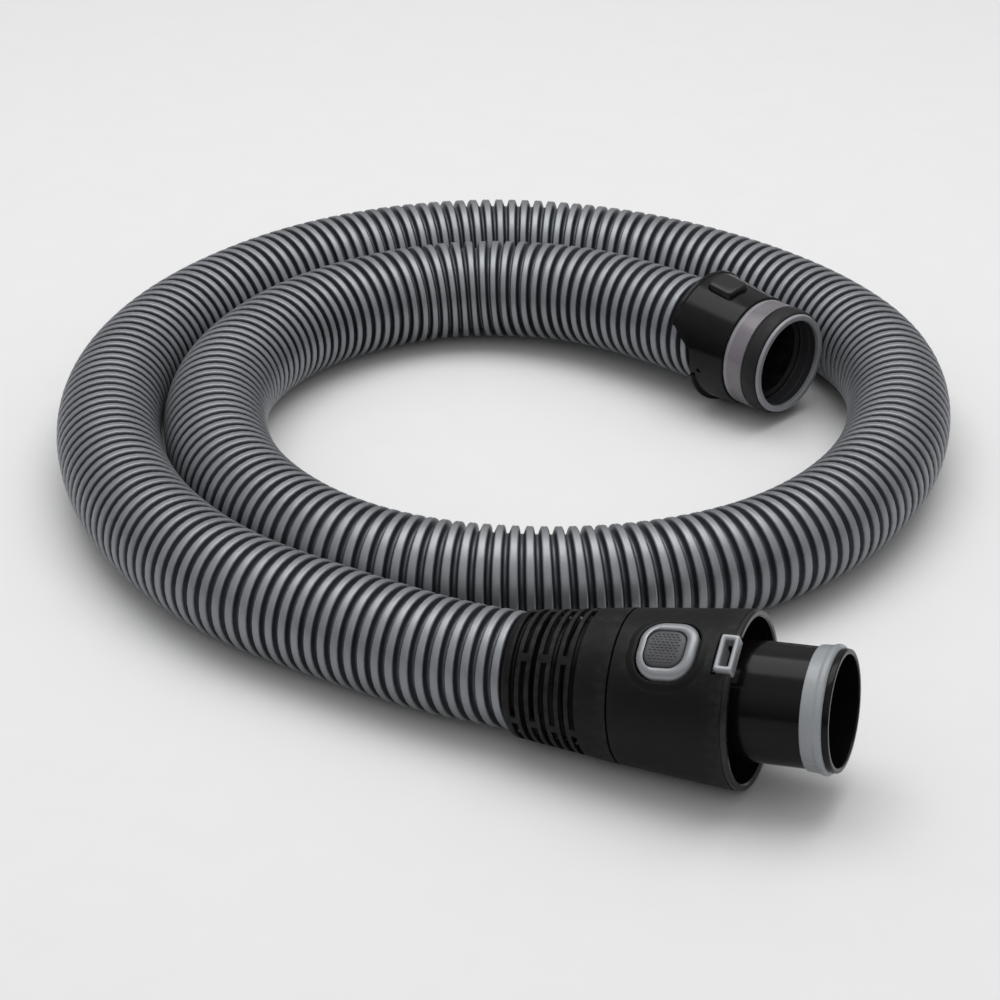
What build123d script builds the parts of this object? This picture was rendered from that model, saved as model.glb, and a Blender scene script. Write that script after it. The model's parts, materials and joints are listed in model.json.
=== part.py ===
"""Canister vacuum-cleaner hose: a ribbed hose laid in a flat spiral on the floor, with a machine connector
(bend-relief collar, swivelling housing, release rocker, inlet spigot) on one end and a handle cuff on the other.

Frame: millimetres, +Z up, the floor at z = 0, the origin on the floor under the middle of the whole object.
In plan, +X is the way the machine connector's spigot points.
"""
from build123d import *
from math import atan2, cos, degrees, hypot, pi, radians, sin, tan
import os

# ---------------------------------------------------------------- driving dimensions
# Hose: crest diameter 46 mm. The plain tube's wall holds as much plastic as the ribbed wall.
hose_r = 23.0
hose_bore_r = 21.4
arc_share = 0.45

# Stations along the machine connector, from the collar's hose end towards the spigot's mouth.
collar_end = 43.6
seam = 44.2
bulkhead = 50.4
rim_step = 89.6
mouth = 91.9
spigot_end = 127.3
machine_hose_end = 39.9
collar_rear_r = 24.3
seam_r = 30.0
mouth_r = 34.5
housing_wall = 1.8
spigot_r = 22.9
spigot_bore_r = 21.2
spigot_seal_r = 24.6
mouth_x, mouth_y = 170.8, -187.1

# Stations along the handle cuff, from its mouth (0) back towards the hose (negative).
handle_hose_end = -27.5
sleeve_rear = -50.4
sleeve_front = -19.9
spacer_front = -9.2
sleeve_rear_r = 29.0
sleeve_front_r = 25.6
sleeve_wall = 1.6
lip_r = 28.9
spacer_r = 24.9
handle_x, handle_y = 101.9, 100.1
handle_heading = -23.0

# Swivel, the same at both ends. Distances run from the hose's end face, out of the hose.
duct_r = 18.2
nose_r = 19.9
hub_r = 19.98
flange_r = 23.1
flange_thick = 2.4
nose_end = 13.5
clip_from = 10.9
clip_to = 12.1
clip_groove_r = 19.1
clip_r = 20.9

# Slots of the bend relief: seven rows of three, with the bridges of neighbouring rows staggered.
slot_rows = 7
slot_first = 4.6
slot_pitch = 4.15
slot_width = 2.4
slot_bridge_deg = 7.0
slot_first_bridge_deg = 104.0

# Release rocker: a silver lever with the push button at one end and the catch window at the other.
rocker_roll = 30.0
button_at = 65.4
button_long, button_wide, button_corner = 23.0, 24.0, 9.0
pad_long, pad_wide, pad_corner = 16.0, 15.5, 5.5
pivot_at, pivot_height = 80.8, 28.2
pin_r = 1.0
catch_from, catch_to, catch_wide = 85.2, 92.4, 15.3
pad_floor = 29.7
window_gap = 0.7

# Snap button of the handle cuff.
snap_roll = 4.5
snap_at = -37.0
snap_long, snap_wide, snap_corner = 14.0, 13.6, 3.0
snap_floor = 25.85
snap_rise = 2.2
snap_gap = 0.5
spring_at = -34.0

# ---------------------------------------------------------------- the two connector axes
machine_tilt = degrees(atan2(mouth_r - seam_r, mouth - seam))
machine_dir = Vector(cos(radians(machine_tilt)), 0, sin(radians(machine_tilt)))
mouth_centre = Vector(mouth_x, mouth_y, mouth_r * cos(radians(machine_tilt)))
# On each side plane, X runs along the connector, Y is upwards and Z is to the right of the heading.
machine_side = Plane(origin=mouth_centre - machine_dir * mouth, x_dir=machine_dir, z_dir=(0, -1, 0))
handle_dir = Vector(cos(radians(handle_heading)), sin(radians(handle_heading)), 0)
handle_side = Plane(
    origin=(handle_x, handle_y, lip_r),
    x_dir=handle_dir,
    z_dir=handle_dir.cross(Vector(0, 0, 1)),
)


def rolled(plane, angle):
    """A side plane rolled about its own X axis, from the top towards the right of the heading."""
    spin = Axis((0, 0, 0), plane.x_dir)
    return Plane(origin=plane.origin, x_dir=plane.x_dir, z_dir=plane.z_dir.rotate(spin, angle))


rocker_side = rolled(machine_side, rocker_roll)
snap_side = rolled(handle_side, snap_roll)


def point_on(plane, along, radius=0.0, across=0.0):
    return plane.from_local_coords(Vector(along, radius, across))


def axis_of(plane):
    return Axis(plane.origin, plane.x_dir)


def end_plane(plane, along, inward=False):
    """The same side plane with its origin moved along the axis, turned round if it faces into the hose."""
    return Plane(
        origin=point_on(plane, along),
        x_dir=plane.x_dir * (-1 if inward else 1),
        z_dir=plane.z_dir * (-1 if inward else 1),
    )


def outward(plane, along, radius):
    """A plane square to the radial direction of a side plane, for what is cut or raised radially."""
    return Plane(origin=point_on(plane, along, radius), x_dir=plane.x_dir, z_dir=plane.y_dir)


def housing_r(along):
    """Outer radius of the housing's cone at a station."""
    return seam_r + (mouth_r - seam_r) * (along - seam) / (mouth - seam)


def sleeve_r(along):
    """Outer radius of the handle sleeve's cone at a station."""
    share = (along - sleeve_front) / (sleeve_rear - sleeve_front)
    return sleeve_front_r + (sleeve_rear_r - sleeve_front_r) * share


def turned(plane, outline, arc=360.0):
    """A solid of revolution about the plane's own X axis; the outline gives (station, radius)."""
    with BuildPart() as piece:
        with BuildSketch(plane):
            with BuildLine():
                Polyline(*outline, close=True)
            make_face()
        revolve(axis=axis_of(plane), revolution_arc=arc)
    return piece.part


def cone_shell(plane, cone, low, high, start, stop):
    """Between two offsets of a cone, used to give a button the curve of the wall that it stands in."""
    return turned(
        plane,
        [
            (start, cone(start) + low),
            (stop, cone(stop) + low),
            (stop, cone(stop) + high),
            (start, cone(start) + high),
        ],
    )


def keep(part, name):
    part.label = name
    export_step(part, f"parts/{name}.step")


# ---------------------------------------------------------------- hose
# Corners of the hose's route between the axes of its two connectors: clockwise round the outer turn,
# behind the machine connector, and round the inner turn. Each lead-in is a corner on a connector's axis.
route_corners = [
    (3, -177, 23),
    (-66, -162, 23),
    (-133, -114, 23),
    (-181, -35, 23),
    (-187, 51, 23),
    (-153, 134, 23),
    (-86, 189, 23),
    (0, 202, 23),
    (91, 174, 23),
    (150, 119, 23),
    (170, 27, 23),
    (145, -59, 23),
    (78, -115, 23),
    (-11, -132, 23),
    (-90, -93, 23),
    (-137, -18, 23),
    (-137, 56, 23),
    (-103, 114, 23),
    (-53, 142, 24.5),
]
machine_lead_in = -17.0
handle_lead_in = -95.0


def arc_radii(points):
    """Each corner's arc: as large as the shorter of its two runs allows."""
    radii = []
    for before, corner, after in zip(points, points[1:], points[2:]):
        half_turn = radians((corner - before).get_angle(after - corner)) / 2
        shorter = min((corner - before).length, (after - corner).length)
        radii.append(arc_share * shorter / tan(half_turn))
    return radii


def make_hose():
    start = point_on(machine_side, machine_hose_end)
    stop = point_on(handle_side, handle_hose_end)
    points = [
        start,
        point_on(machine_side, machine_lead_in),
        *[Vector(*corner) for corner in route_corners],
        point_on(handle_side, handle_lead_in),
        stop,
    ]
    radii = arc_radii(points)
    with BuildPart() as hose:
        with BuildLine() as route:
            FilletPolyline(*points, radius=radii)
        with BuildSketch(Plane(origin=start, z_dir=points[1] - start)):
            Circle(hose_r)
            Circle(hose_bore_r, mode=Mode.SUBTRACT)
        sweep(path=route.wire())
    length = route.wire().length
    section = pi * (hose_r**2 - hose_bore_r**2)
    print("hose length", round(length, 1), "bend radii", [round(r) for r in radii])
    print("hose volume", round(hose.part.volume), "section x length", round(section * length))
    return hose.part


# ---------------------------------------------------------------- swivel pieces, used at both ends
def make_ferrule(plane):
    """Bush in the hose's end: a tube inside the hose, a flange over its end face, and the swivel nose."""
    tube_long = 22.0
    taper_from, taper_to = -8.0, -2.0
    with BuildPart() as ferrule:
        with BuildSketch(plane):
            with BuildLine():
                Polyline(
                    (-tube_long, hose_bore_r),
                    (0, hose_bore_r),
                    (0, flange_r),
                    (flange_thick, flange_r),
                    (flange_thick, nose_r),
                    (clip_from, nose_r),
                    (clip_from, clip_groove_r),
                    (clip_to, clip_groove_r),
                    (clip_to, nose_r),
                    (nose_end, nose_r),
                    (nose_end, duct_r),
                    (taper_to, duct_r),
                    (taper_from, hose_bore_r - 1.6),
                    (-tube_long, hose_bore_r - 1.6),
                    close=True,
                )
            make_face()
        revolve(axis=axis_of(plane))
    return ferrule.part


def make_clip(plane):
    """Open spring ring in the nose's groove, which holds the ferrule in its hub."""
    opening_deg = 24.0
    slack = 0.06
    with BuildPart() as clip:
        with BuildSketch(rolled(plane, 90)):
            with BuildLine():
                Polyline(
                    (clip_from + slack, clip_groove_r + slack),
                    (clip_to - slack, clip_groove_r + slack),
                    (clip_to - slack, clip_r),
                    (clip_from + slack, clip_r),
                    close=True,
                )
            make_face()
        revolve(axis=axis_of(plane), revolution_arc=360 - opening_deg)
    return clip.part


def make_swivel_seal(plane):
    """Soft lip ring in the outer pipe, just past the end of the ferrule's nose."""
    gap, thick = 0.4, 2.2
    with BuildPart() as seal:
        with BuildSketch(plane):
            with BuildLine():
                Polyline(
                    (nose_end + gap, spigot_bore_r),
                    (nose_end + gap, duct_r + 1.0),
                    (nose_end + gap + 0.7, duct_r + 0.4),
                    (nose_end + gap + thick, duct_r + 1.6),
                    (nose_end + gap + thick, spigot_bore_r),
                    close=True,
                )
            make_face()
        revolve(axis=axis_of(plane))
    return seal.part


# ---------------------------------------------------------------- machine connector
def make_collar():
    """Bend relief: a tapered collar, cut by rows of slots so that it can flex with the hose."""
    grip_from, lip_from = 34.9, 42.45
    chamber_r = 27.0
    with BuildPart() as collar:
        with BuildSketch(machine_side):
            with BuildLine():
                Polyline(
                    (0, collar_rear_r - 0.6),
                    (0.8, collar_rear_r),
                    (2.2, collar_rear_r + 0.55),
                    (collar_end, seam_r - 0.05),
                    (collar_end, nose_r + 0.6),
                    (lip_from, nose_r + 0.6),
                    (lip_from, flange_r + 0.05),
                    (machine_hose_end, flange_r + 0.05),
                    (machine_hose_end, hose_r),
                    (grip_from, hose_r),
                    (grip_from - 2.0, chamber_r),
                    (grip_from - 4.0, chamber_r),
                    (2.6, hose_r + 0.35),
                    (0, hose_r + 0.2),
                    close=True,
                )
            make_face()
        revolve(axis=axis_of(machine_side))
        for row in range(slot_rows):
            station = slot_first + slot_pitch * row
            for third in range(3):
                bridge = slot_first_bridge_deg + 120 * third + 60 * (row % 2)
                start = bridge + slot_bridge_deg / 2
                with BuildSketch(rolled(machine_side, start)):
                    with Locations((station, seam_r - 2.5)):
                        Rectangle(slot_width, 2 * (seam_r - 2.5 - hose_r - 0.1))
                revolve(
                    axis=axis_of(machine_side),
                    revolution_arc=120 - slot_bridge_deg,
                    mode=Mode.SUBTRACT,
                )
    return collar.part


def make_housing():
    """Outer shell of the connector, with the button's window, the catch's notch and the pivot lugs."""
    rear_wall = 1.8
    lug_in, lug_out, lug_from, lug_to = 5.9, 7.7, 78.9, 83.0
    with BuildPart() as housing:
        with BuildSketch(machine_side):
            with BuildLine():
                Polyline(
                    (seam, nose_r + 0.5),
                    (seam, seam_r - 0.3),
                    (seam + 0.3, seam_r),
                    (rim_step, housing_r(rim_step)),
                    (rim_step, housing_r(rim_step) - housing_wall),
                    (seam + rear_wall, housing_r(seam + rear_wall) - housing_wall),
                    (seam + rear_wall, nose_r + 0.5),
                    close=True,
                )
            make_face()
        revolve(axis=axis_of(machine_side))
        with BuildSketch(outward(rocker_side, button_at, 26)):
            RectangleRounded(
                button_long + 2 * window_gap, button_wide + 2 * window_gap, button_corner + window_gap
            )
        extrude(amount=14, mode=Mode.SUBTRACT)
        with BuildSketch(outward(rocker_side, rim_step, 26)):
            Rectangle(2 * (rim_step - catch_from + 1.2), catch_wide + 1.6)
        extrude(amount=14, mode=Mode.SUBTRACT)
        for side in (-1, 1):
            with BuildSketch(rocker_side.offset(side * (lug_in + lug_out) / 2)):
                with Locations(((lug_from + lug_to) / 2, 28.9)):
                    Rectangle(lug_to - lug_from, 6.0)
                with Locations((pivot_at, pivot_height)):
                    Circle(pin_r, mode=Mode.SUBTRACT)
            extrude(amount=(lug_out - lug_in) / 2, both=True)
    return housing.part


def make_rim():
    """Ring that finishes the housing's mouth, broken where the catch passes."""
    depth, inset = 2.0, 0.25
    with BuildPart() as rim:
        with BuildSketch(machine_side):
            with BuildLine():
                Polyline(
                    (rim_step, housing_r(rim_step) - inset),
                    (mouth - 0.6, mouth_r - inset),
                    (mouth, mouth_r - inset - 0.6),
                    (mouth, mouth_r - 2.4),
                    (mouth - 0.6, mouth_r - 3.0),
                    (rim_step - depth, mouth_r - 3.1),
                    (rim_step - depth, housing_r(rim_step - depth) - housing_wall),
                    (rim_step, housing_r(rim_step) - housing_wall),
                    close=True,
                )
            make_face()
        revolve(axis=axis_of(machine_side))
        with BuildSketch(outward(rocker_side, mouth, 26)):
            Rectangle(2 * (mouth - catch_from + 1.2), catch_wide + 1.6)
        extrude(amount=14, mode=Mode.SUBTRACT)
    return rim.part


def make_spigot():
    """Inlet pipe with its hub for the swivel nose and the bulkhead that joins it to the housing."""
    hub_from, disc_from = 46.3, 48.4
    groove_from, groove_to, groove_deep = 114.9, 124.9, 0.4
    fit = 0.02
    with BuildPart() as spigot:
        with BuildSketch(machine_side):
            with BuildLine():
                Polyline(
                    (hub_from, hub_r),
                    (hub_from, spigot_r),
                    (disc_from, spigot_r),
                    (disc_from, housing_r(disc_from) - housing_wall - fit),
                    (bulkhead, housing_r(bulkhead) - housing_wall - fit),
                    (bulkhead, spigot_r),
                    (groove_from, spigot_r),
                    (groove_from, spigot_r - groove_deep),
                    (groove_to, spigot_r - groove_deep),
                    (groove_to, spigot_r + 0.35),
                    (spigot_end - 0.9, spigot_r + 0.35),
                    (spigot_end, spigot_r - 0.4),
                    (spigot_end, spigot_bore_r + 0.4),
                    (spigot_end - 0.6, spigot_bore_r),
                    (bulkhead, spigot_bore_r),
                    (bulkhead, hub_r),
                    close=True,
                )
            make_face()
        revolve(axis=axis_of(machine_side))
    return spigot.part


def make_spigot_seal():
    with BuildPart() as seal:
        with BuildSketch(machine_side):
            with BuildLine():
                Polyline(
                    (115.0, spigot_r - 0.4),
                    (115.0, spigot_r + 0.7),
                    (115.8, spigot_r + 1.2),
                    (121.6, spigot_r + 1.2),
                    (122.4, spigot_seal_r),
                    (123.9, spigot_seal_r),
                    (124.8, spigot_r + 0.8),
                    (124.8, spigot_r - 0.4),
                    close=True,
                )
            make_face()
        revolve(axis=axis_of(machine_side))
    return seal.part


def make_rocker():
    """Silver lever on the pivot pin: button frame, beam, pivot boss and catch window in one piece."""
    beam_low, beam_high = 26.9, 28.7
    frame_deep, frame_proud, boss_r = 3.4, 2.2, 2.3
    boss_half, beam_half = 2.4, 4.5
    spring_in, spring_out = 2.6, 5.7
    with BuildPart() as rocker:
        with BuildSketch(outward(rocker_side, button_at, beam_low)):
            RectangleRounded(button_long, button_wide, button_corner)
        extrude(amount=12)
        add(
            cone_shell(rocker_side, housing_r, -frame_deep, frame_proud, 50, 82),
            mode=Mode.INTERSECT,
        )
        with BuildSketch(outward(rocker_side, button_at - 1.0, pad_floor)):
            RectangleRounded(pad_long + 0.4, pad_wide + 0.4, pad_corner)
        extrude(amount=12, mode=Mode.SUBTRACT)
        with BuildSketch(rocker_side):
            with BuildLine():
                Polyline(
                    (button_at - 9, beam_low),
                    (catch_from + 2.2, beam_low),
                    (catch_from + 2.2, 31.4),
                    (catch_from, 31.4),
                    (catch_from, beam_high),
                    (pivot_at + 1.6, beam_high),
                    (button_at + 9, pad_floor),
                    (button_at - 9, pad_floor),
                    close=True,
                )
            make_face()
        extrude(amount=beam_half, both=True)
        with BuildSketch(rocker_side.offset((spring_in + spring_out) / 2)):
            with Locations((pivot_at, pivot_height)):
                Rectangle(6.4, 6.0)
        extrude(amount=(spring_out - spring_in) / 2, both=True, mode=Mode.SUBTRACT)
        with BuildSketch(rocker_side):
            with Locations((pivot_at, pivot_height)):
                Circle(boss_r)
        extrude(amount=boss_half, both=True)
        with BuildSketch(outward(rocker_side, (catch_from + catch_to) / 2, 30.4)):
            RectangleRounded(catch_to - catch_from, catch_wide, 1.0)
            RectangleRounded(catch_to - catch_from - 4.0, catch_wide - 4.2, 0.6, mode=Mode.SUBTRACT)
        extrude(amount=4.9)
        with BuildSketch(rocker_side):
            with Locations((pivot_at, pivot_height)):
                Circle(pin_r + 0.06)
        extrude(amount=beam_half + 1, both=True, mode=Mode.SUBTRACT)
    return rocker.part


def make_grip_pad():
    with BuildPart() as pad:
        with BuildSketch(outward(rocker_side, button_at - 1.0, pad_floor)):
            RectangleRounded(pad_long, pad_wide, pad_corner - 0.2)
        extrude(amount=10)
        add(cone_shell(rocker_side, housing_r, -4.0, 1.9, 50, 82), mode=Mode.INTERSECT)
    return pad.part


def make_pin():
    with BuildPart() as pin:
        with BuildSketch(rocker_side):
            with Locations((pivot_at, pivot_height)):
                Circle(pin_r)
        extrude(amount=7.7, both=True)
    return pin.part


def make_rocker_spring():
    """Torsion spring round the pivot pin: one leg under the beam, the other towards the housing's wall."""
    wire_r, coil_r, turns, pitch, first = 0.3, 1.65, 3.25, 0.7, 3.1
    beam_leg, wall_leg = 7.0, 2.8
    # Laid out with the pin along Z, X inwards and Y towards the spigot, and then moved into place.
    coil_plane = Plane(
        origin=point_on(rocker_side, pivot_at, pivot_height, first),
        x_dir=-rocker_side.y_dir,
        z_dir=rocker_side.z_dir,
    )
    with BuildPart() as spring:
        with BuildLine():
            coil = Helix(pitch=pitch, height=pitch * turns, radius=coil_r)
        with BuildSketch(Plane(origin=coil @ 0, z_dir=coil % 0)):
            Circle(wire_r)
        sweep(path=coil)
        with BuildSketch(Plane(origin=coil @ 0, z_dir=-(coil % 0))):
            Circle(wire_r)
        extrude(amount=beam_leg)
        with BuildSketch(Plane(origin=coil @ 1, z_dir=coil % 1)):
            Circle(wire_r)
        extrude(amount=wall_leg)
    return spring.part.moved(coil_plane.location)


# ---------------------------------------------------------------- handle cuff
def make_sleeve():
    """Outer sleeve of the cuff: its lower rear is cut back to a rolled lip, its upper rear is a hood."""
    cut_at, lip_long, bead = -37.5, 2.4, 0.5
    hood_edge, hood_low, spare = 13.2, 3.2, 0.5
    with BuildPart() as sleeve:
        # The turned wall's seam is kept clear of the button's window and of the cut.
        with BuildSketch(rolled(handle_side, -35)):
            with BuildLine():
                Polyline(
                    (sleeve_rear, sleeve_rear_r - sleeve_wall),
                    (sleeve_rear, sleeve_rear_r + bead - 0.3),
                    (sleeve_rear + 0.4, sleeve_rear_r + bead),
                    (sleeve_rear + 1.6, sleeve_r(sleeve_rear + 1.6) + bead),
                    (sleeve_rear + 2.2, sleeve_r(sleeve_rear + 2.2)),
                    (sleeve_front - 0.4, sleeve_r(sleeve_front - 0.4)),
                    (sleeve_front, sleeve_front_r - 0.35),
                    (sleeve_front, 24.15),
                    (sleeve_front - 1.7, 24.15),
                    (sleeve_front - 3.2, sleeve_r(sleeve_front - 3.2) - sleeve_wall),
                    close=True,
                )
            make_face()
        revolve(axis=axis_of(handle_side))
        with BuildSketch(rolled(handle_side, 108)):
            with BuildLine():
                Polyline(
                    (cut_at - spare, sleeve_r(cut_at) - sleeve_wall / 2),
                    (cut_at + lip_long, sleeve_r(cut_at + lip_long) - sleeve_wall / 2),
                    (cut_at + lip_long, sleeve_r(cut_at + lip_long)),
                    (cut_at + lip_long - 0.8, lip_r),
                    (cut_at + 0.5, lip_r),
                    (cut_at, lip_r - 0.5),
                    (cut_at - spare, lip_r - 0.5),
                    close=True,
                )
            make_face()
        revolve(axis=axis_of(handle_side), revolution_arc=144)
        with BuildSketch(handle_side):
            with BuildLine():
                Polyline(
                    (sleeve_rear - 2, hood_edge),
                    (sleeve_rear + 1, hood_edge),
                    (cut_at, hood_low),
                    (cut_at, -34),
                    (sleeve_rear - 2, -34),
                    close=True,
                )
            make_face()
        extrude(amount=34, both=True, mode=Mode.SUBTRACT)
        with BuildSketch(outward(snap_side, snap_at, 22)):
            RectangleRounded(snap_long + 2 * snap_gap, snap_wide + 2 * snap_gap, snap_corner + snap_gap)
        extrude(amount=12, mode=Mode.SUBTRACT)
        with BuildSketch(outward(rolled(handle_side, 101), -32.6, sleeve_r(-32.6) - 0.6)):
            Circle(1.1)
        extrude(amount=3, mode=Mode.SUBTRACT)
    return sleeve.part


def make_inner_tube():
    """Light tube with the cuff's mouth, the swivel hub and the barrel that covers the hose's end."""
    barrel_rear, barrel_in, barrel_out = -38.0, 23.35, 24.15
    hub_from, hub_to = -24.9, -17.0
    body_r, step = 22.4, -1.5
    with BuildPart() as tube:
        with BuildSketch(handle_side):
            with BuildLine():
                Polyline(
                    (barrel_rear, barrel_in),
                    (hub_from, barrel_in),
                    (hub_from, hub_r),
                    (hub_to, hub_r),
                    (hub_to, spigot_bore_r),
                    (-3.0, spigot_bore_r),
                    (-1.6, spigot_bore_r + 0.3),
                    (0, spigot_bore_r + 1.1),
                    (0, 23.1),
                    (-0.5, 23.55),
                    (step, 23.55),
                    (step, body_r),
                    (sleeve_front - 0.05, body_r),
                    (sleeve_front - 0.05, barrel_out),
                    (barrel_rear, barrel_out),
                    close=True,
                )
            make_face()
        revolve(axis=axis_of(handle_side))
    return tube.part


def make_cuff_ring():
    """Translucent spacer ring between the sleeve and the rubber seal."""
    with BuildPart() as ring:
        with BuildSketch(handle_side):
            with BuildLine():
                Polyline(
                    (sleeve_front, 22.4),
                    (sleeve_front, spacer_r - 0.4),
                    (sleeve_front + 0.4, spacer_r),
                    (spacer_front - 0.3, spacer_r),
                    (spacer_front, spacer_r - 0.3),
                    (spacer_front, 22.4),
                    close=True,
                )
            make_face()
        revolve(axis=axis_of(handle_side))
    return ring.part


def make_cuff_seal():
    """Rubber ring behind the mouth, crowned so that it seals in the handle's socket."""
    with BuildPart() as seal:
        with BuildSketch(handle_side):
            with BuildLine():
                Polyline((spacer_front, 22.4), (spacer_front, spacer_r - 0.5))
                ThreePointArc((spacer_front, spacer_r - 0.5), (-5.4, spacer_r), (-1.5, 24.1))
                Polyline((-1.5, 24.1), (-1.5, 22.4), (spacer_front, 22.4))
            make_face()
        revolve(axis=axis_of(handle_side))
    return seal.part


def make_snap_button():
    """Button in the sleeve's window, with a tab under the sleeve's wall and a pocket for its spring."""
    pocket_r, pocket_top = 3.1, 27.8
    tab_from, tab_to, tab_wide, tab_thick = -45.8, -38.5, 16.6, 0.7
    tab_top = -sleeve_wall - 0.25
    with BuildPart() as tab:
        with BuildSketch(outward(snap_side, (tab_from + tab_to) / 2, 22)):
            Rectangle(tab_to - tab_from, tab_wide)
        extrude(amount=8)
        add(
            cone_shell(snap_side, sleeve_r, tab_top - tab_thick, tab_top, -50, -25),
            mode=Mode.INTERSECT,
        )
    with BuildPart() as button:
        with BuildSketch(outward(snap_side, snap_at, snap_floor)):
            RectangleRounded(snap_long, snap_wide, snap_corner)
        extrude(amount=8)
        add(cone_shell(snap_side, sleeve_r, -4.0, snap_rise, -50, -25), mode=Mode.INTERSECT)
        add(tab.part)
        with BuildSketch(outward(snap_side, spring_at, snap_floor - 1)):
            Circle(pocket_r)
        extrude(amount=pocket_top - snap_floor + 1, mode=Mode.SUBTRACT)
    return button.part


def make_snap_spring():
    """Compression spring between the inner tube's barrel and the snap button."""
    wire_r, coil_r, low, high, turns = 0.25, 2.3, 24.5, 27.5, 4
    with BuildPart() as spring:
        with BuildLine():
            coil = Helix(pitch=(high - low) / turns, height=high - low, radius=coil_r)
        with BuildSketch(Plane(origin=coil @ 0, z_dir=coil % 0)):
            Circle(wire_r)
        sweep(path=coil)
    return spring.part.moved(outward(snap_side, spring_at, low).location)


# ---------------------------------------------------------------- everything
os.makedirs("parts", exist_ok=True)
machine_end = end_plane(machine_side, machine_hose_end)
handle_end = end_plane(handle_side, handle_hose_end)

keep(make_hose(), "hose")
keep(make_ferrule(machine_end), "machine_end_ferrule")
keep(make_clip(machine_end), "machine_end_clip")
keep(make_swivel_seal(machine_end), "machine_swivel_seal")
keep(make_collar(), "bend_relief_collar")
keep(make_housing(), "connector_housing")
keep(make_rim(), "mouth_rim_ring")
keep(make_spigot(), "inlet_spigot")
keep(make_spigot_seal(), "spigot_seal_ring")
keep(make_rocker(), "release_rocker")
keep(make_grip_pad(), "rocker_grip_pad")
keep(make_pin(), "rocker_pivot_pin")
keep(make_rocker_spring(), "rocker_spring")
keep(make_ferrule(handle_end), "handle_end_ferrule")
keep(make_clip(handle_end), "handle_end_clip")
keep(make_swivel_seal(handle_end), "handle_swivel_seal")
keep(make_sleeve(), "cuff_sleeve")
keep(make_inner_tube(), "cuff_inner_tube")
keep(make_cuff_ring(), "cuff_spacer_ring")
keep(make_cuff_seal(), "cuff_seal_ring")
keep(make_snap_button(), "snap_button")
keep(make_snap_spring(), "snap_button_spring")
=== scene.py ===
"""Looks of the canister vacuum hose: the ribbed hose, the turned connector pieces, the release rocker with its
woven pad, the procedural materials, a pale floor, soft overhead light and the camera.

Blender units are metres. Stations and radii along the two connectors are in millimetres, as MM turns them.
"""

import json
from math import cos, pi, radians, sin, sqrt

import bmesh
import bpy
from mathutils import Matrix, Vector


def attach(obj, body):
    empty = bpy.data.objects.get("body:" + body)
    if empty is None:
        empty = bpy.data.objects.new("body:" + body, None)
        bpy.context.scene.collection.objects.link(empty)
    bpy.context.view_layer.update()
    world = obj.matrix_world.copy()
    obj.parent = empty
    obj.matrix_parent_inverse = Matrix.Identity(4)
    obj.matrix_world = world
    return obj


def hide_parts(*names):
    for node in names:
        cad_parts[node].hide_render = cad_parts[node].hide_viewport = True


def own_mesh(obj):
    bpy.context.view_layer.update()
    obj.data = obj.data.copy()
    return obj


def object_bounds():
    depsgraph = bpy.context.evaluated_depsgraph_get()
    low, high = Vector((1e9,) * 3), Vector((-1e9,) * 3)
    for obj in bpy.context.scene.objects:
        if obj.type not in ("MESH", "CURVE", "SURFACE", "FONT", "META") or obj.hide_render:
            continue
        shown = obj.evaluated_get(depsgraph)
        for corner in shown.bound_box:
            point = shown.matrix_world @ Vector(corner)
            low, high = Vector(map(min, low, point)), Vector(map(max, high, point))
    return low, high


MM = 0.001
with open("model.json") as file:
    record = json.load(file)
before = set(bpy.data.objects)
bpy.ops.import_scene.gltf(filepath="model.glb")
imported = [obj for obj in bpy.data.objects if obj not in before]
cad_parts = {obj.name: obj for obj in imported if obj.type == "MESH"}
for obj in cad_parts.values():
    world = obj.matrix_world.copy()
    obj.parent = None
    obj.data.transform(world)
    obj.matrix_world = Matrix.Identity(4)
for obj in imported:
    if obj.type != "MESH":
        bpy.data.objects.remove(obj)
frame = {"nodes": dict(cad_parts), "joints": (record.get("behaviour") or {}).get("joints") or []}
cad_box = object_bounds()
joints = {joint["name"]: joint for joint in frame["joints"]}


# ---------------------------------------------------------------- the two connectors' own frames
class Side:
    """A connector's frame: X along its axis, Y upwards and Z to the right of its heading, rolled about X."""

    def __init__(self, joint_name, station, roll=0.0):
        joint = joints[joint_name]
        self.x = Vector(joint["axis"]).normalized()
        right = self.x.cross(Vector((0, 0, 1))).normalized()
        up = right.cross(self.x)
        turn = radians(roll)
        self.y = up * cos(turn) + right * sin(turn)
        self.z = right * cos(turn) - up * sin(turn)
        self.origin = Vector(joint["pos_m"]) - self.x * station * MM

    def at(self, along, up=0.0, across=0.0):
        return self.origin + (self.x * along + self.y * up + self.z * across) * MM

    def round_at(self, along, radius, angle):
        return self.at(along, radius * cos(angle), radius * sin(angle))


swivel_station, cuff_swivel_station = 48.4, -19.0
machine = Side("machine_connector_swivel", swivel_station)
rocker_side = Side("machine_connector_swivel", swivel_station, 30.0)
handle = Side("handle_cuff_swivel", cuff_swivel_station)
snap_side = Side("handle_cuff_swivel", cuff_swivel_station, 4.5)

seam, mouth, seam_r, mouth_r = 44.2, 91.9, 30.0, 34.5
sleeve_front, sleeve_rear, sleeve_front_r, sleeve_rear_r = -19.9, -50.4, 25.6, 29.0


def housing_r(along):
    return seam_r + (mouth_r - seam_r) * (along - seam) / (mouth - seam)


def sleeve_r(along):
    share = (along - sleeve_front) / (sleeve_rear - sleeve_front)
    return sleeve_front_r + (sleeve_rear_r - sleeve_front_r) * share


# ---------------------------------------------------------------- materials
def node(tree, kind, **settings):
    made = tree.nodes.new(kind)
    for key, value in settings.items():
        setattr(made, key, value)
    return made


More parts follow.
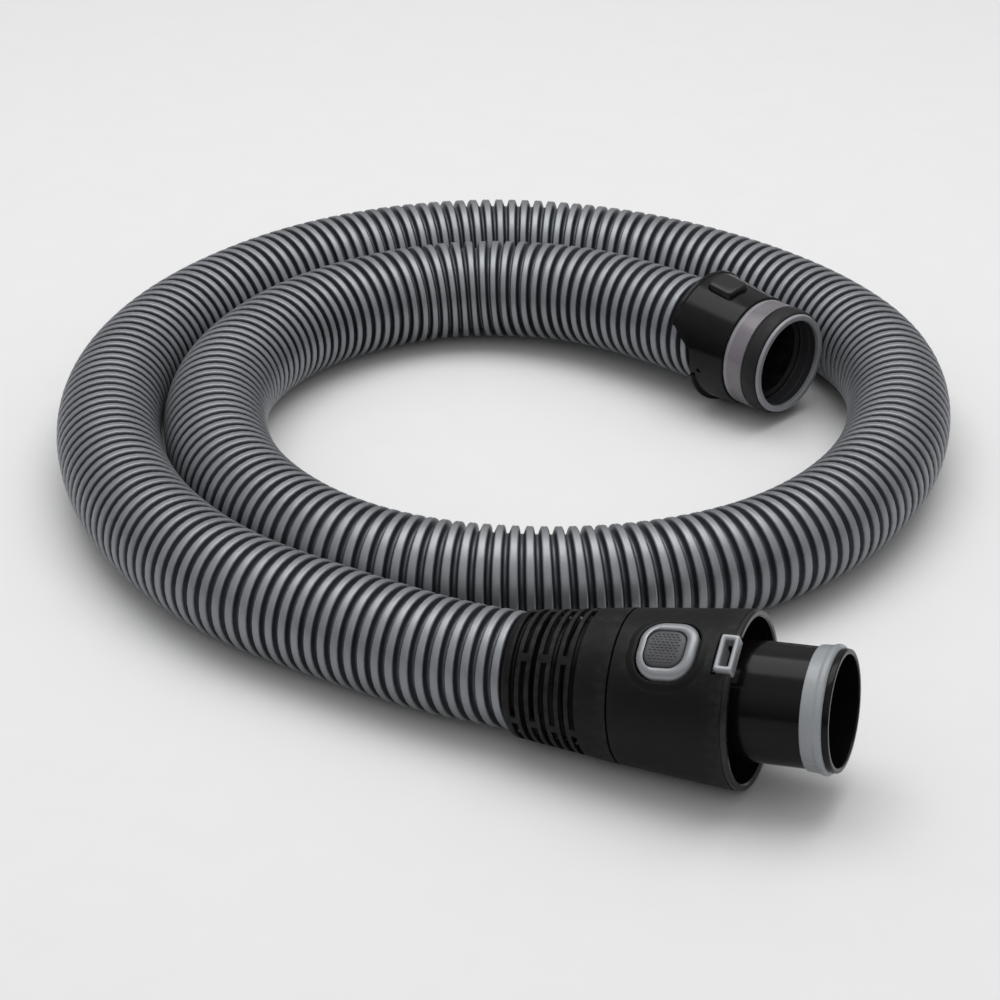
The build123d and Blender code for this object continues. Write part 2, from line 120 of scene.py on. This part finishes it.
def noise(tree, place, scale, detail=4.0):
    made = node(tree, "ShaderNodeTexNoise")
    made.inputs["Scale"].default_value = scale
    made.inputs["Detail"].default_value = detail
    tree.links.new(place.outputs["Object"], made.inputs["Vector"])
    return made.outputs["Fac"]


def ramp(tree, value, low, high, low_at=0.3, high_at=0.7):
    made = node(tree, "ShaderNodeValToRGB")
    made.color_ramp.elements[0].position = low_at
    made.color_ramp.elements[1].position = high_at
    made.color_ramp.elements[0].color = (*low, 1)
    made.color_ramp.elements[1].color = (*high, 1)
    tree.links.new(value, made.inputs["Fac"])
    return made.outputs["Color"]


def spread(tree, value, low, high):
    made = node(tree, "ShaderNodeMapRange")
    made.inputs["From Min"].default_value = 0.3
    made.inputs["From Max"].default_value = 0.7
    made.inputs["To Min"].default_value = low
    made.inputs["To Max"].default_value = high
    tree.links.new(value, made.inputs["Value"])
    return made.outputs["Result"]


def mixed(tree, share, first, second):
    made = node(tree, "ShaderNodeMix", data_type="RGBA")
    tree.links.new(share, made.inputs["Factor"])
    tree.links.new(first, made.inputs["A"])
    tree.links.new(second, made.inputs["B"])
    return made.outputs["Result"]


def finish(name, low, high, rough, grain=2600.0, relief=0.06, wear=None, **sockets):
    """A moulded surface: colour drifts between low and high, roughness varies, a fine grain gives it relief,
    and, where wear is given, the edges rub to that colour. What is uniform sits on the shader's own sockets."""
    made = bpy.data.materials.new(name)
    made.use_nodes = True
    tree = made.node_tree
    shader = tree.nodes["Principled BSDF"]
    place = node(tree, "ShaderNodeTexCoord")
    colour = ramp(tree, noise(tree, place, 42.0), low, high)
    if wear:
        geometry = node(tree, "ShaderNodeNewGeometry")
        edge = ramp(tree, geometry.outputs["Pointiness"], (0, 0, 0), (1, 1, 1), 0.53, 0.62)
        worn = ramp(tree, noise(tree, place, 300.0), low, wear)
        colour = mixed(tree, edge, colour, worn)
    tree.links.new(colour, shader.inputs["Base Color"])
    tree.links.new(spread(tree, noise(tree, place, 160.0), *rough), shader.inputs["Roughness"])
    bump = node(tree, "ShaderNodeBump")
    bump.inputs["Strength"].default_value = relief
    bump.inputs["Distance"].default_value = 0.0004
    tree.links.new(noise(tree, place, grain, 2.0), bump.inputs["Height"])
    tree.links.new(bump.outputs["Normal"], shader.inputs["Normal"])
    for socket, value in sockets.items():
        shader.inputs[socket.replace("_", " ")].default_value = value
    return made


def hose_finish_with_painted_shade():
    """Silver-grey plastic of the ribs with painted shade: the crests keep the plain colour, the valleys and
    their walls are painted dark.
    """
    made = finish("hose_silver_grey_painted_rib_shade", (0.215, 0.226, 0.241), (0.258, 0.270, 0.286), (0.37, 0.45), 1900.0, 0.05,
                  Metallic=0.6)
    tree = made.node_tree
    shader = tree.nodes["Principled BSDF"]
    drift = shader.inputs["Base Color"].links[0].from_socket
    crest = node(tree, "ShaderNodeAttribute", attribute_name="crest")
    # Painted light and shade by the rib's height: the valley's floor is painted a little lighter, the walls are
    # painted dark as shade, and the crest keeps the plain colour.
    painted_rib_shades = node(tree, "ShaderNodeValToRGB")
    painted_rib_shades.color_ramp.elements[0].color = (0.3, 0.3, 0.3, 1)
    for place_on_ramp, value in ((0.25, 0.0), (0.7, 0.0), (0.95, 1.0)):
        painted_rib_shades.color_ramp.elements.new(place_on_ramp).color = (value, value, value, 1)
    tree.links.new(crest.outputs["Fac"], painted_rib_shades.inputs["Fac"])
    shade = painted_rib_shades.outputs["Color"]
    place = node(tree, "ShaderNodeTexCoord")
    # The dark colour of the painted shade in the valleys.
    valley = ramp(tree, noise(tree, place, 120.0), (0.022, 0.024, 0.030), (0.036, 0.039, 0.048))
    tree.links.new(mixed(tree, shade, valley, drift), shader.inputs["Base Color"])
    return made


hose_silver = hose_finish_with_painted_shade()
matte_black = finish("matte_black", (0.0045, 0.0046, 0.0050), (0.0068, 0.0069, 0.0074), (0.40, 0.50), 3200.0,
                     0.10, (0.024, 0.024, 0.025), Specular_IOR_Level=0.13)
collar_black_and_hose_painted_shade = finish("collar_black_and_hose_painted_shade", (0.0042, 0.0042, 0.0046), (0.0064, 0.0064, 0.0069), (0.44, 0.56), 3000.0,
                      0.12, (0.022, 0.022, 0.023), Specular_IOR_Level=0.13)
gloss_black = finish("gloss_black", (0.0028, 0.0028, 0.0032), (0.0042, 0.0042, 0.0048), (0.13, 0.21), 1400.0,
                     0.015, (0.012, 0.012, 0.013), Specular_IOR_Level=0.15)
rim_black = finish("rim_black", (0.0045, 0.0045, 0.005), (0.007, 0.007, 0.0077), (0.24, 0.34), 2400.0, 0.05,
                   (0.02, 0.02, 0.021), Specular_IOR_Level=0.3)
silver = finish("satin_silver", (0.225, 0.235, 0.25), (0.265, 0.275, 0.29), (0.30, 0.40), 2400.0, 0.05,
                (0.32, 0.33, 0.34), Metallic=0.35)
pad_grey = finish("pad_grey", (0.042, 0.043, 0.046), (0.060, 0.061, 0.065), (0.48, 0.60), 3400.0, 0.2)
light_grey = finish("light_grey", (0.215, 0.22, 0.235), (0.255, 0.26, 0.275), (0.28, 0.38), 1800.0, 0.04)
cuff_bore_painted_shade = finish("cuff_bore_painted_shade", (0.028, 0.029, 0.032), (0.042, 0.043, 0.047), (0.26, 0.36), 1800.0, 0.04)
clear_ring = finish("clear_silicone", (0.215, 0.229, 0.244), (0.285, 0.30, 0.316), (0.24, 0.36), 1300.0, 0.08)
mauve_edge_painted_highlight = finish("mauve_edge_painted_highlight", (0.19, 0.188, 0.20), (0.23, 0.228, 0.24), (0.22, 0.34), 1500.0, 0.04)
mauve = finish("mauve_ring", (0.115, 0.103, 0.118), (0.165, 0.150, 0.168), (0.22, 0.34), 1500.0, 0.04)
rubber = finish("black_rubber", (0.0065, 0.0065, 0.007), (0.0105, 0.0105, 0.011), (0.50, 0.66), 1700.0, 0.14,
                Specular_IOR_Level=0.28)
steel = finish("spring_steel", (0.48, 0.48, 0.49), (0.58, 0.58, 0.59), (0.22, 0.34), 3000.0, 0.05, Metallic=1.0)


# ---------------------------------------------------------------- mesh helpers
class Shell:
    """Points and faces of a piece while it is put together from lofts, lathes and blocks."""

    def __init__(self):
        self.points, self.faces = [], []

    def loft(self, rings, closed_rows=False, caps=False):
        """Quads between neighbouring rings of equal count."""
        base, count = len(self.points), len(rings[0])
        self.points += [point for ring in rings for point in ring]
        rows = len(rings) if closed_rows else len(rings) - 1
        for row in range(rows):
            here, there = base + row * count, base + (row + 1) % len(rings) * count
            for k in range(count):
                after = (k + 1) % count
                self.faces.append((here + k, here + after, there + after, there + k))
        if caps:
            self.faces.append(tuple(base + k for k in reversed(range(count))))
            last = base + (len(rings) - 1) * count
            self.faces.append(tuple(last + k for k in range(count)))

    def lathe(self, side, outline, steps=160):
        """A closed outline of (station, radius) turned all round the side's axis."""
        angles = [radians(360.0 * k / steps) for k in range(steps)]
        rings = [[side.round_at(s, r, angle) for s, r in outline] for angle in angles]
        self.loft(rings, closed_rows=True)

    def block(self, side, along, up, across, round_off):
        """A box between pairs of coordinates on a side's frame, with its long edges chamfered."""
        (x0, x1), (y0, y1), (z0, z1) = along, up, across
        c = round_off
        ring = [(y0 + c, z0), (y1 - c, z0), (y1, z0 + c), (y1, z1 - c), (y1 - c, z1), (y0 + c, z1),
                (y0, z1 - c), (y0, z0 + c)]
        ends = [(x0, c), (x0 + c, 0), (x1 - c, 0), (x1, c)]
        rings = []
        for x, inset in ends:
            middle_y, middle_z = (y0 + y1) / 2, (z0 + z1) / 2
            fy = 1 - 2 * inset / (y1 - y0)
            fz = 1 - 2 * inset / (z1 - z0)
            rings.append([side.at(x, middle_y + (y - middle_y) * fy, middle_z + (z - middle_z) * fz)
                          for y, z in ring])
        self.loft(rings, caps=True)

    def build(self, name, body, material, replaces=(), sharp=40.0):
        mesh = bpy.data.meshes.new(name)
        mesh.from_pydata(self.points, [], self.faces)
        work = bmesh.new()
        work.from_mesh(mesh)
        bmesh.ops.remove_doubles(work, verts=work.verts, dist=1e-7)
        bmesh.ops.recalc_face_normals(work, faces=work.faces)
        work.to_mesh(mesh)
        work.free()
        mesh.polygons.foreach_set("use_smooth", [True] * len(mesh.polygons))
        mesh.set_sharp_from_angle(angle=radians(sharp))
        mesh.materials.append(material)
        made = bpy.data.objects.new(name, mesh)
        bpy.context.scene.collection.objects.link(made)
        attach(made, body)
        if replaces:
            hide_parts(*replaces)
        return made


def soften(outline, radius, steps=4):
    """A closed outline with each corner turned into a small curve."""
    result = []
    for k, (x, y) in enumerate(outline):
        corner = Vector((x, y))
        before = Vector(outline[k - 1]) - corner
        after = Vector(outline[(k + 1) % len(outline)]) - corner
        cut = min(radius, 0.45 * before.length, 0.45 * after.length)
        start, stop = corner + before.normalized() * cut, corner + after.normalized() * cut
        for step in range(steps + 1):
            t = step / steps
            point = start * (1 - t) ** 2 + corner * 2 * t * (1 - t) + stop * t * t
            result.append((point.x, point.y))
    return result


def rounded_rectangle(long, wide, corner, steps=8):
    """Outline of a rounded rectangle about its middle, as (along, across)."""
    points = []
    for quarter in range(4):
        cx = (long / 2 - corner) * (1 if quarter in (0, 3) else -1)
        cz = (wide / 2 - corner) * (1 if quarter in (0, 1) else -1)
        for step in range(steps + 1):
            angle = pi / 2 * (quarter + step / steps)
            points.append((cx + corner * cos(angle), cz + corner * sin(angle)))
    return points


def on_cone(side, cone, along, across, height):
    """A point above or below a connector's conical wall, as far across as it says."""
    radius = cone(along) + height
    return side.at(along, sqrt(max(radius**2 - across**2, 0.0)), across)


# ---------------------------------------------------------------- hose
# The route's corners between the two connectors, as the CAD tube has them.
route_corners = [
    (0.003, -0.177, 0.023),
    (-0.066, -0.162, 0.023),
    (-0.133, -0.114, 0.023),
    (-0.181, -0.035, 0.023),
    (-0.187, 0.051, 0.023),
    (-0.153, 0.134, 0.023),
    (-0.086, 0.189, 0.023),
    (0, 0.202, 0.023),
    (0.091, 0.174, 0.023),
    (0.15, 0.119, 0.023),
    (0.17, 0.027, 0.023),
    (0.145, -0.059, 0.023),
    (0.078, -0.115, 0.023),
    (-0.011, -0.132, 0.023),
    (-0.09, -0.093, 0.023),
    (-0.137, -0.018, 0.023),
    (-0.137, 0.056, 0.023),
    (-0.103, 0.114, 0.023),
    (-0.053, 0.142, 0.0245),
]
machine_hose_end, machine_lead_in = 39.9, -17.0
handle_hose_end, handle_lead_in = -27.5, -95.0
hose_length, hose_diameter = 1.73, 0.046
rib_pitch = 6.2 * MM
rows_per_rib, points_round = 9, 36
bore_r, end_r, end_reach = 19.1, 22.0, 0.03
under_collar, under_sleeve, sleeve_ends = 1.5, -42.5, -20.0
# One rib, from valley to valley: the place within the pitch and the radius there.
valley_r, crest_r = 19.7, 23.0
rib = [(0.0, valley_r), (0.19, valley_r), (0.29, 22.2), (0.345, 22.85), (0.43, crest_r), (0.57, 22.86),
       (0.71, crest_r), (0.795, 22.85), (0.85, 22.2)]
# How bright the plain ends and the bore are painted, between a valley's 0 and a crest's 1; both values get the
# dark painted shade of the valleys.
end_shade, bore_shade = 0.6, 0.3


def route_line():
    """Points along the NURBS line of the route, close together."""
    points = [
        machine.at(machine_hose_end),
        machine.at(machine_lead_in),
        *[Vector(corner) for corner in route_corners],
        handle.at(handle_lead_in),
        handle.at(handle_hose_end),
    ]
    curve = bpy.data.curves.new("hose_route", "CURVE")
    curve.dimensions = "3D"
    curve.resolution_u = 48
    spline = curve.splines.new("NURBS")
    spline.points.add(len(points) - 1)
    for held, point in zip(spline.points, points):
        held.co = (*point, 1)
    spline.order_u = 3
    spline.use_endpoint_u = True
    carrier = bpy.data.objects.new("hose_route", curve)
    bpy.context.scene.collection.objects.link(carrier)
    bpy.context.view_layer.update()
    mesh = bpy.data.meshes.new_from_object(carrier)
    line = [vertex.co.copy() for vertex in mesh.vertices]
    bpy.data.meshes.remove(mesh)
    bpy.data.objects.remove(carrier)
    return line


def walker(line):
    """A function that gives the place, right and up at a distance along the line."""
    travel = [0.0]
    for before, after in zip(line, line[1:]):
        travel.append(travel[-1] + (after - before).length)
    tangents = []
    for k in range(len(line)):
        tangents.append((line[min(k + 1, len(line) - 1)] - line[max(k - 1, 0)]).normalized())
    seat = [0]

    def at(distance):
        k = seat[0]
        while k > 0 and travel[k] > distance:
            k -= 1
        while k < len(line) - 2 and travel[k + 1] < distance:
            k += 1
        seat[0] = k
        share = (distance - travel[k]) / (travel[k + 1] - travel[k])
        place = line[k].lerp(line[k + 1], share)
        tangent = tangents[k].lerp(tangents[k + 1], share)
        right = tangent.cross(Vector((0, 0, 1))).normalized()
        return place, right, right.cross(tangent).normalized()

    return at, travel[-1]


def make_hose():
    """Wall of the hose: one rib wound round it as a helix from end to end, and a plain bore inside."""
    line = route_line()
    at, total = walker(line)
    rows = int(total / rib_pitch * rows_per_rib) + rows_per_rib
    points, faces, crest = [], [], []

    def put(distance, radius, angle, height):
        place, right, up = at(distance)
        points.append(place + (right * sin(angle) + up * cos(angle)) * radius * MM)
        crest.append(height)

    for row in range(-rows_per_rib, rows + 1):
        phase, radius = rib[row % rows_per_rib]
        turn = row // rows_per_rib
        for k in range(points_round):
            distance = (turn + phase + k / points_round) * rib_pitch
            angle = 2 * pi * k / points_round + pi
            if 0 < distance < total:
                put(distance, radius, angle, (radius - valley_r) / (crest_r - valley_r))
            else:
                put(min(max(distance, 0.0), total), end_r, angle, end_shade)
    row_count = rows + rows_per_rib + 1
    for row in range(row_count - 1):
        for k in range(points_round):
            here = row * points_round + k
            if k < points_round - 1:
                faces.append((here, here + 1, here + 1 + points_round, here + points_round))
            elif row + 1 + rows_per_rib < row_count:
                # The helix closes on itself one rib further on.
                over = (row + rows_per_rib) * points_round
                faces.append((here, over, over + points_round, here + points_round))
    outer = len(points)
    bore_rows = int(total / (2 * rib_pitch))
    for row in range(bore_rows + 1):
        for k in range(points_round):
            put(total * row / bore_rows, bore_r, 2 * pi * k / points_round, bore_shade)
    for row in range(bore_rows):
        for k in range(points_round):
            here, after = outer + row * points_round + k, outer + row * points_round + (k + 1) % points_round
            faces.append((here, here + points_round, after + points_round, after))

    mesh = bpy.data.meshes.new("ribbed_hose")
    mesh.from_pydata(points, [], faces)
    mesh.attributes.new("crest", "FLOAT", "POINT").data.foreach_set("value", crest)
    work = bmesh.new()
    work.from_mesh(mesh)
    bmesh.ops.remove_doubles(work, verts=work.verts, dist=2e-6)
    bmesh.ops.dissolve_degenerate(work, edges=work.edges, dist=1e-7)
    open_edges = [edge for edge in work.edges if edge.is_boundary]
    bmesh.ops.bridge_loops(work, edges=[e for e in open_edges if near_end(e, line[0])])
    bmesh.ops.bridge_loops(work, edges=[e for e in open_edges if near_end(e, line[-1])])
    bmesh.ops.recalc_face_normals(work, faces=work.faces)
    work.to_mesh(mesh)
    work.free()
    mesh.polygons.foreach_set("use_smooth", [True] * len(mesh.polygons))
    mesh.materials.append(hose_silver)
    mesh.materials.append(collar_black_and_hose_painted_shade)
    # The hose's faces inside the collar and inside the sleeve take the collar's black: painted shade where the
    # connectors cover the hose.
    for face in mesh.polygons:
        if (is_within(face.center, machine, under_collar, machine_hose_end + rib_pitch / MM)
                or is_within(face.center, handle, under_sleeve, sleeve_ends)):
            face.material_index = 1
    hose = bpy.data.objects.new("ribbed_hose", mesh)
    bpy.context.scene.collection.objects.link(hose)
    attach(hose, "hose_body")
    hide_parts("hose")


def near_end(edge, end):
    """Whether an edge belongs to the open rim at that end of the hose."""
    middle = (edge.verts[0].co + edge.verts[1].co) / 2
    return (middle - end).length < end_reach


def is_within(point, side, start, stop):
    """Whether a point of the hose lies inside a connector, between two of its stations."""
    along = (point - side.origin).dot(side.x) / MM
    return start < along < stop and (point - side.at(along)).length < 0.55 * hose_diameter


make_hose()


# ---------------------------------------------------------------- turned pieces of the machine connector
def make_spigot():
    hub_from, hub_r, bulkhead, disc_from, spigot_r, bore = 46.3, 19.98, 50.4, 48.4, 22.9, 21.2
    wall = 1.82
    outline = [
        (hub_from, hub_r), (hub_from, spigot_r), (disc_from, spigot_r), (disc_from, housing_r(disc_from) - wall),
        (bulkhead, housing_r(bulkhead) - wall), (bulkhead, spigot_r), (116.3, spigot_r),
        (116.3, spigot_r - 0.4), (124.9, spigot_r - 0.4), (124.9, spigot_r + 0.35), (127.3, spigot_r + 0.35),
        (127.3, bore), (bulkhead, bore), (bulkhead, hub_r),
    ]
    piece = Shell()
    piece.lathe(machine, soften(outline, 0.6))
    piece.build("inlet_pipe", "machine_connector", gloss_black, ["inlet_spigot"])


def make_spigot_ring():
    """Soft ring near the spigot's end, with a rounded ridge at its front."""
    outline = [(116.4, 22.5), (116.4, 23.75), (121.4, 24.1), (122.3, 24.6), (123.9, 24.6), (124.8, 23.7),
               (124.8, 22.5)]
    piece = Shell()
    piece.lathe(machine, soften(outline, 0.55))
    piece.build("soft_spigot_ring", "machine_connector", clear_ring, ["spigot_seal_ring"])


def make_cuff_tube():
    outline = [
        # the barrel, the swivel's seat and the stepped bore
        (-38.0, 23.35), (-24.9, 23.35), (-24.9, 19.98), (-17.0, 19.98), (-17.0, 21.2), (-11.0, 21.2),
        (-11.0, 21.5), (-6.4, 21.5), (-6.4, 21.75), (-2.6, 21.75),
        # the mouth's lip
        (-2.6, 20.9), (-2.2, 20.6), (-0.3, 20.6), (0, 20.9), (0, 23.0), (-1.5, 23.55),
        # outside, under the rings and the sleeve
        (-1.5, 22.4), (-19.95, 22.4), (-19.95, 24.15), (-38.0, 24.15),
    ]
    piece = Shell()
    piece.lathe(handle, soften(outline, 0.35))
    tube = piece.build("cuff_mouth_tube", "handle_cuff", light_grey, ["cuff_inner_tube"])
    # The bore behind the mouth's edge is painted darker: painted shade, as light reaches it only through the
    # wall.
    lip_to, bore_under = -2.5, 22.1
    tube.data.materials.append(cuff_bore_painted_shade)
    for face in tube.data.polygons:
        from_mouth = (face.center - handle.origin).dot(handle.x) / MM
        radius = (face.center - handle.at(from_mouth)).length / MM
        if from_mouth < lip_to and radius < bore_under:
            face.material_index = 1


def make_cuff_rings():
    strip_to = -17.4
    spacer = [(-19.85, 22.4), (-19.85, 24.5), (-18.9, 24.9), (strip_to, 24.9), (-9.35, 24.9), (-9.25, 22.4)]
    piece = Shell()
    piece.lathe(handle, soften(spacer, 0.3))
    ring = piece.build("mauve_spacer_ring", "handle_cuff", mauve, ["cuff_spacer_ring"])
    # A paler strip runs round its rear edge: a painted highlight.
    ring.data.materials.append(mauve_edge_painted_highlight)
    for face in ring.data.polygons:
        if (face.center - handle.origin).dot(handle.x) / MM < strip_to - 0.1:
            face.material_index = 1
    crown = [(-9.15, 22.4), (-9.15, 24.3), (-8.1, 24.75), (-5.4, 24.88), (-2.9, 24.6), (-1.55, 24.0),
             (-1.55, 22.4)]
    piece = Shell()
    piece.lathe(handle, soften(crown, 0.5))
    piece.build("crowned_rubber_ring", "handle_cuff", rubber, ["cuff_seal_ring"])


make_spigot()
make_spigot_ring()
make_cuff_tube()
make_cuff_rings()


# ---------------------------------------------------------------- release rocker
button_at, button_long, button_wide, button_corner = 65.4, 23.0, 24.0, 9.0
pad_at, pad_long, pad_wide, pad_corner = 64.4, 16.0, 15.5, 5.5
pivot_at, pivot_height = 80.8, 28.2
catch_from, catch_to, catch_wide = 85.2, 92.4, 15.3


def cone_ring(middle, long, wide, corner, height):
    return [on_cone(rocker_side, housing_r, middle + along, across, height)
            for along, across in rounded_rectangle(long, wide, corner)]


def make_rocker():
    """Silver lever: a crowned frame round the pad, the beam under it, and the catch window past the pivot."""
    piece = Shell()
    # The frame's section, as (inset from the outer edge, height above the housing's wall).
    section = [(0.0, -3.3), (0.0, 0.4), (0.15, 1.15), (0.6, 1.75), (1.3, 2.1), (2.3, 2.2), (2.9, 2.1)]
    rings = [cone_ring(button_at, button_long - 2 * inset, button_wide - 2 * inset, button_corner - inset,
                       height) for inset, height in section]
    seat_long, seat_wide = pad_long + 0.6, pad_wide + 0.6
    for inset, height in ((0.25, 1.75), (0.0, 1.3), (0.0, -1.6)):
        rings.append(cone_ring(pad_at, seat_long + 2 * inset, seat_wide + 2 * inset, pad_corner + inset, height))
    rings.append(cone_ring(button_at, button_long - 3.0, button_wide - 3.0, button_corner - 1.5, -3.3))
    piece.loft(rings, closed_rows=True)
    beam_from, beam_to, beam_across, chamfer = button_at - 9.0, catch_from + 2.2, (-4.5, 4.5), 0.3
    piece.block(rocker_side, (beam_from, beam_to), (26.9, 28.6), beam_across, chamfer)
    piece.block(rocker_side, (catch_from, beam_to), (27.5, 31.2), beam_across, chamfer)
    piece.lathe(Boss(), [(-2.4, 0.0), (-2.4, 2.3), (2.4, 2.3), (2.4, 0.0)], 48)
    add_catch(piece)
    piece.build("silver_rocker", "rocker_lever", silver, ["release_rocker"], 50.0)


class Boss:
    """The pivot's own frame, for what is turned about the pin."""

    def round_at(self, along, radius, angle):
        return rocker_side.at(pivot_at + radius * cos(angle), pivot_height + radius * sin(angle), along)


def add_catch(piece):
    """Window that hooks into the machine's socket: its walls lean in from the top to the inner edge."""
    middle, long = (catch_from + catch_to) / 2, catch_to - catch_from
    low, high = 30.5, 35.25
    section = [(0.0, low), (0.0, high - 0.5), (0.18, high - 0.12), (0.55, high), (1.5, high), (1.95, high - 0.3),
               (2.15, high - 1.0), (2.35, low)]
    rings = []
    for inset, up in section:
        corner = max(1.0 - inset * 0.25, 0.4)
        outline = rounded_rectangle(long - 1.9 * inset, catch_wide - 2 * inset, corner, 4)
        rings.append([rocker_side.at(middle + along, up, across) for along, across in outline])
    piece.loft(rings, closed_rows=True)


def make_pad():
    """Crowned pad with a woven relief: short raised bars in rows, every other row half a step along."""
    piece = Shell()
    section = [(0.0, -2.2), (0.0, 0.9), (0.25, 1.35), (0.9, 1.62), (2.2, 1.72), (4.4, 1.78)]
    rings = [cone_ring(pad_at, pad_long - 2 * inset, pad_wide - 2 * inset, pad_corner - inset * 0.9, height)
             for inset, height in section]
    piece.loft(rings, caps=True)
    row_count, row_step, bar_step, bar_long, bar_wide = 11, 1.18, 1.75, 1.25, 0.62
    for row in range(row_count):
        across = (row - (row_count - 1) / 2) * row_step
        reach = pad_long / 2 - 1.3 - max(abs(across) - 3.4, 0.0) * 0.75
        shift = bar_step / 2 * (row % 2)
        for k in range(-5, 6):
            along = k * bar_step + shift
            if abs(along) + bar_long / 2 < reach:
                add_bar(piece, pad_at + along, across, bar_long, bar_wide)
    piece.build("woven_grip_pad", "rocker_lever", pad_grey, ["rocker_grip_pad"], 50.0)


def add_bar(piece, along, across, long, wide):
    """One raised dash of the weave, a small rounded hump on the pad."""
    rings = []
    for inset, height in ((0.0, 1.5), (0.04, 1.86), (0.16, 1.97)):
        outline = rounded_rectangle(long - 2 * inset, wide - 2 * inset, 0.29 - inset, 2)
        rings.append([on_cone(rocker_side, housing_r, along + a, across + b, height) for a, b in outline])
    piece.loft(rings, caps=True)


make_rocker()
make_pad()


def make_surround():
    """Low moulded swell of the housing round the button's window, steep at the window and soft outside."""
    gap = 0.75
    section = [(gap, -0.6), (gap, 0.45), (gap + 0.3, 0.72), (gap + 1.0, 0.78), (gap + 1.9, 0.62),
               (gap + 2.9, 0.22), (gap + 3.9, -0.12), (gap + 3.9, -0.6)]
    piece = Shell()
    piece.loft([cone_ring(button_at, button_long + 2 * out, button_wide + 2 * out, button_corner + out, height)
                for out, height in section], closed_rows=True)
    piece.build("housing_button_surround", "machine_connector", matte_black, (), 50.0)


make_surround()


# ---------------------------------------------------------------- snap button
spring_at, spring_from, spring_keeps = -34.0, 24.5, 0.5


def make_snap_button():
    """Black button in the sleeve's window, crowned, with its tab under the sleeve's wall."""
    middle, long, wide, corner = -37.0, 14.0, 13.6, 2.2
    piece = Shell()
    section = [(0.0, 1.7), (0.15, 2.3), (0.6, 2.7), (1.6, 2.85), (3.6, 2.9)]
    # Its foot stays far enough out for the press to end before the barrel.
    foot_r, pocket_r, pocket_top = 26.2, 3.1, 27.8
    pocket = [(spring_at + a, b) for a, b in rounded_rectangle(2 * pocket_r, 2 * pocket_r, pocket_r)]
    foot = [(middle + a, b) for a, b in rounded_rectangle(long, wide, corner)]
    rings = [[snap_side.at(a, pocket_top, b) for a, b in pocket]]
    rings += [[on_cone(snap_side, lambda _: foot_r, a, b, 0.0) for a, b in ring] for ring in (pocket, foot)]
    for inset, height in section:
        outline = rounded_rectangle(long - 2 * inset, wide - 2 * inset, max(corner - inset * 0.5, 0.8))
        rings.append([on_cone(snap_side, sleeve_r, middle + a, b, height) for a, b in outline])
    piece.loft(rings, caps=True)
    # The tab under the sleeve's wall, bent with it.
    tab_from, tab_to, tab_wide, bends = -45.8, -38.5, 16.6, 12
    tab_under, tab_over = -2.55, -1.87
    section = [(tab_from, tab_under), (tab_to, tab_under), (tab_to, tab_over), (tab_from, tab_over)]
    piece.loft([[on_cone(snap_side, sleeve_r, a, tab_wide * (k / bends - 0.5), height) for a, height in section]
                for k in range(bends + 1)], caps=True)
    piece.build("snap_push_button", "cuff_button", rim_black, ["snap_button"], 50.0)


make_snap_button()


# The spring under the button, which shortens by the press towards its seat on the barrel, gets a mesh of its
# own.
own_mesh(frame["nodes"]["snap_button_spring"])


# ---------------------------------------------------------------- CAD pieces that stay, with their materials
kept = {
    "machine_end_ferrule": matte_black,
    "machine_end_clip": steel,
    "machine_swivel_seal": rubber,
    "bend_relief_collar": collar_black_and_hose_painted_shade,
    "connector_housing": matte_black,
    "mouth_rim_ring": rim_black,
    "rocker_pivot_pin": steel,
    "rocker_spring": steel,
    "handle_end_ferrule": matte_black,
    "handle_end_clip": steel,
    "handle_swivel_seal": rubber,
    "cuff_sleeve": gloss_black,
    "snap_button_spring": steel,
}
for name, material in kept.items():
    piece = frame["nodes"][name]
    piece.data.materials.clear()
    piece.data.materials.append(material)


# ---------------------------------------------------------------- floor, light and camera
def make_floor():
    mesh = bpy.data.meshes.new("floor")
    reach, clearance = 6.0, 0.0002
    mesh.from_pydata([(-reach, -reach, 0), (reach, -reach, 0), (reach, reach, 0), (-reach, reach, 0)], [],
                     [(0, 1, 2, 3)])
    floor = bpy.data.objects.new("floor", mesh)
    floor.location.z = cad_box[0][2] - clearance
    bpy.context.scene.collection.objects.link(floor)
    mesh.materials.append(finish("pale_floor", (0.70, 0.70, 0.70), (0.71, 0.71, 0.71), (0.55, 0.6), 300.0, 0.0))


def make_light(name, place, aim, size, power):
    light = bpy.data.lights.new(name, "AREA")
    light.shape = "RECTANGLE"
    light.size, light.size_y = size
    light.energy = power
    lamp = bpy.data.objects.new(name, light)
    lamp.location = place
    lamp.rotation_euler = (Vector(aim) - Vector(place)).to_track_quat("-Z", "Y").to_euler()
    bpy.context.scene.collection.objects.link(lamp)


def make_world():
    """Soft surrounding light: bright overhead, dimmer towards the horizon."""
    world = bpy.data.worlds.new("studio")
    bpy.context.scene.world = world
    world.use_nodes = True
    tree = world.node_tree
    place = node(tree, "ShaderNodeTexCoord")
    parts = node(tree, "ShaderNodeSeparateXYZ")
    tree.links.new(place.outputs["Generated"], parts.inputs["Vector"])
    shade = ramp(tree, parts.outputs["Z"], (0.16, 0.16, 0.165), (1, 1, 1), 0.05, 0.75)
    background = tree.nodes["Background"]
    tree.links.new(shade, background.inputs["Color"])
    background.inputs["Strength"].default_value = 0.8


camera_place = Vector((0.4287, -1.1228, 0.6554))
camera_aim = Vector((0.005, -0.0189, 0.0))
camera = bpy.data.cameras.new("camera")
camera.lens = 110.4
camera.sensor_width = 36.0
camera.clip_end = 50.0
viewer = bpy.data.objects.new("camera", camera)
viewer.location = camera_place
viewer.rotation_euler = (camera_aim - camera_place).to_track_quat("-Z", "Y").to_euler()
bpy.context.scene.collection.objects.link(viewer)
bpy.context.scene.camera = viewer
bpy.context.scene.view_settings.view_transform = "Standard"

make_floor()
make_world()
make_light("overhead", (-0.1, 0.25, 1.5), (0, 0, 0), (1.7, 1.1), 16.0)
make_light("front_fill", (0.9, -1.5, 1.1), (0.1, -0.1, 0), (0.9, 0.6), 1.1)
